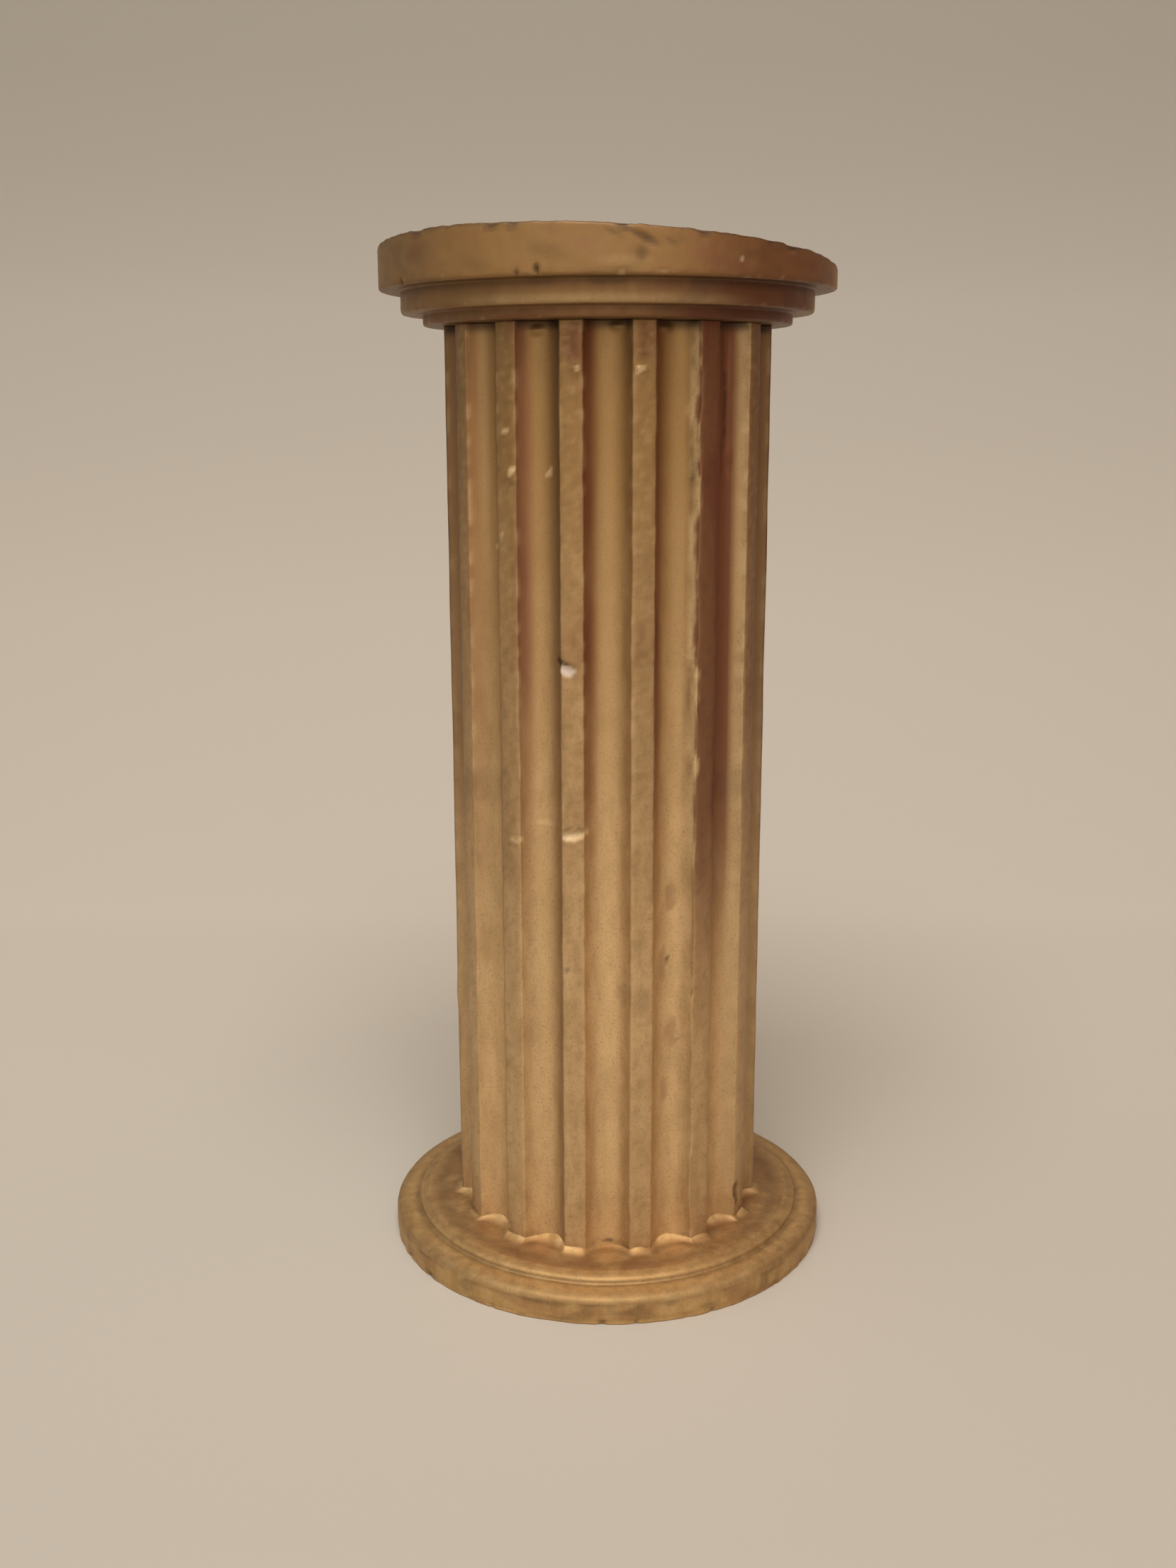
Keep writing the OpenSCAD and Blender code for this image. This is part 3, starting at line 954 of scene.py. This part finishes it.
def capital_paint(radius, at, x, y, z, flat):
    """The four marks of the paint at a place on the capital."""
    marks = dict.fromkeys(PAINT, 0.0)
    if radius > inner - 1 and flat > capital_z + 0.2:
        patch = wave(x, y, 2 * z, 24, 56.0)
        if radius > slab_r - 6:
            slab_marks(marks, radius, at, x, y, z, flat, patch)
        marks["pale"] += 0.5 * ramp(edge_chips(radius, x, y, flat), 0.5, 0.9)
        reach = 1.0 if radius > middle_r + 4 else 1.25
        # Painted reflection and painted shade: the right side is redder and darker, the lower discs more.
        marks["ruddy"] += reach * 0.5 * ramp(at + 9 * patch, 4, 40) * ramp(at, 78, 64)
        marks["ruddy"] += 0.25 * ramp(patch, 0.1, 0.5)
        marks["dirt_and_shade"] += reach * 0.2 * ramp(at, 6, 36) * ramp(at, 76, 62) + 0.16 * ramp(patch, -0.1, -0.5)
        # The middle disc: painted highlight on its lower front, painted shade and red-brown under the slab.
        if middle_r - 3 < radius < middle_r + 3 and flat < slab_z - 1:
            marks["pale"] += 0.3 * ramp(flat, middle_z + 9, middle_z + 3) * ramp(abs(at), 46, 26)
            marks["dirt_and_shade"] += 0.12 + 0.3 * ramp(flat, slab_z - 7, slab_z - 1)
            marks["ruddy"] += 0.2 * ramp(flat, slab_z - 10, slab_z - 3)
        # Painted shade and red-brown on the neck, under the middle disc.
        if radius < neck_r + 3:
            marks["ruddy"] += 0.3
            marks["dirt_and_shade"] += 0.24
    if flat > top_z - 0.1:
        rim = ramp(radius, slab_r - 34, slab_r - 4)
        marks["dirt_and_shade"] = rim * marks["dirt_and_shade"] + 0.1 + 0.2 * ramp(wave(x, y, 0, 30, 57.0), 0, 0.5)
        marks["ruddy"] = rim * marks["ruddy"] + (1 - rim) * 0.25 * ramp(wave(x, y, 0, 24, 58.0), 0.1, 0.5)
    # Painted shade on the undersides of the neck and the slab.
    if flat <= capital_z + 0.2 or (radius < slab_r - 2 and abs(flat - slab_z) < 0.2):
        marks["dirt_and_shade"] += 0.35
    return marks


capital_layers = paint_layers(capital_bm)
for v in capital_bm.verts:
    x, y, flat = (c / MM for c in v.co)
    radius, at, z = math.hypot(x, y), bearing(x, y), sloped(x, y, flat)
    out, drop = capital_relief(radius, at, x, y, z, flat)
    brush(v, capital_layers, capital_paint(radius, at, x, y, z, flat))
    share = (radius + out) / radius if radius > 1 else 1.0
    v.co = (x * share * MM, y * share * MM, (z - drop) * MM)
finish_piece("stepped_capital", capital_bm, "capital", capital_gold)

# %% [markdown]
# ## Studio
# A satin metal shows its surroundings more than its own colour, so the room matters as much as the
# paint. It is cool on the left, where the window is, dim and warm on the right, and bright in front,
# where the viewer stands.

# %% World
studio = bpy.data.worlds.new("studio")
bpy.context.scene.world = studio
studio.use_nodes = True
sky = studio.node_tree
sky.nodes.clear()
toward = add(sky, "ShaderNodeTexCoord").outputs["Generated"]
split = add(sky, "ShaderNodeSeparateXYZ", Vector=toward).outputs
right = add(sky, "ShaderNodeMapRange", i0=split["X"], i1=-0.3, i2=0.3).outputs[0]
front = add(sky, "ShaderNodeMapRange", i0=split["Y"], i1=-0.35, i2=-0.95).outputs[0]
blend = {"data_type": "RGBA"}
sides = add(sky, "ShaderNodeMix", blend, i0=right, i6=srgb("#A09D98"), i7=srgb("#8C6E5A")).outputs[2]
room = add(sky, "ShaderNodeMix", blend, i0=front, i6=sides, i7=srgb("#F4EFE8")).outputs[2]
ground = add(sky, "ShaderNodeBackground", Color=room, Strength=1.75)
add(sky, "ShaderNodeOutputWorld", Surface=ground.outputs[0])
print("world:", len(sky.nodes), "nodes")

# %% [markdown]
# The floor is plain matt paint that sweeps up into a backdrop without a corner. It reflects softly
# and has no highlight, so nothing on it draws the eye. Its tone changes with depth: it is lighter
# where the floor turns up, to even out the fall of the light there, and darker up the backdrop,
# which is painted shade. The sweep is a line of edges, drawn out to the side.

# %% Floor and backdrop
cloth = bpy.data.materials.new("matt_pale_paint")
cloth.use_nodes = True
coat = cloth.node_tree
place = add(coat, "ShaderNodeTexCoord").outputs["Object"]
depth = add(coat, "ShaderNodeSeparateXYZ", Vector=place).outputs["Y"]
share = add(coat, "ShaderNodeMapRange", i0=depth, i1=-0.4, i2=2.2).outputs[0]
tone = add(coat, "ShaderNodeValToRGB", Fac=share)
tone.color_ramp.elements[0].color = srgb("#ADA69B")
tone.color_ramp.elements[1].color = srgb("#8F887D")
for stop, shade in ((0.19, "#B4ADA1"), (0.458, "#C0B9AD"), (0.77, "#B2AA9E"), (0.938, "#A1998E")):
    tone.color_ramp.elements.new(stop).color = srgb(shade)
coat.nodes["Principled BSDF"].inputs["Roughness"].default_value = 0.9
coat.links.new(tone.outputs[0], coat.nodes["Principled BSDF"].inputs["Base Color"])

NEAR, FAR, RISE, HIGH, HALF_WIDTH = -3, 0.7, 1.5, 4.0, 4
BENDS = 12
line = [(NEAR, 0)]
for i in range(BENDS + 1):
    a = i * math.pi / 2 / BENDS
    line.append((FAR + RISE * math.sin(a), RISE - RISE * math.cos(a)))
line.append((FAR + RISE, HIGH))
sweep_bm = bmesh.new()
rail = [sweep_bm.verts.new((-HALF_WIDTH, y, z)) for y, z in line]
for a, b in zip(rail, rail[1:]):
    sweep_bm.edges.new((a, b))
drawn = bmesh.ops.extrude_edge_only(sweep_bm, edges=sweep_bm.edges[:])
moved = [g for g in drawn["geom"] if isinstance(g, bmesh.types.BMVert)]
bmesh.ops.translate(sweep_bm, verts=moved, vec=(2 * HALF_WIDTH, 0, 0))
sweep_mesh = bpy.data.meshes.new("sweep")
sweep_bm.to_mesh(sweep_mesh)
sweep_bm.free()
sweep_mesh.shade_smooth()
sweep_mesh.materials.append(cloth)
sweep = bpy.data.objects.new("sweep", sweep_mesh)
bpy.context.scene.collection.objects.link(sweep)
print("sweep:", len(sweep_mesh.polygons), "faces")

# %% [markdown]
# One wide soft lamp hangs high in front. It draws the long highlights down the flutes, and lets the
# capital throw its shadow on the shaft. A larger lamp gives softer shadows, and a smaller one crisper.

# %% Lamp


def soft_lamp(name, place, aim, size, power, colour):
    """A square area lamp at a place, turned to its aim."""
    data = bpy.data.lights.new(name, "AREA")
    data.shape = "SQUARE"
    data.size = size
    data.energy = power
    data.color = srgb(colour)[:3]
    lamp = bpy.data.objects.new(name, data)
    lamp.location = place
    lamp.rotation_euler = (Vector(aim) - Vector(place)).to_track_quat("-Z", "Y").to_euler()
    bpy.context.scene.collection.objects.link(lamp)
    print(f"{name}: {power} W over {size} m")


soft_lamp("window", (-0.15, -1.3, 2.9), (0, 0, 0.35), 1.5, 74, "#FFFDF9")
bpy.context.scene.view_settings.view_transform = "Standard"
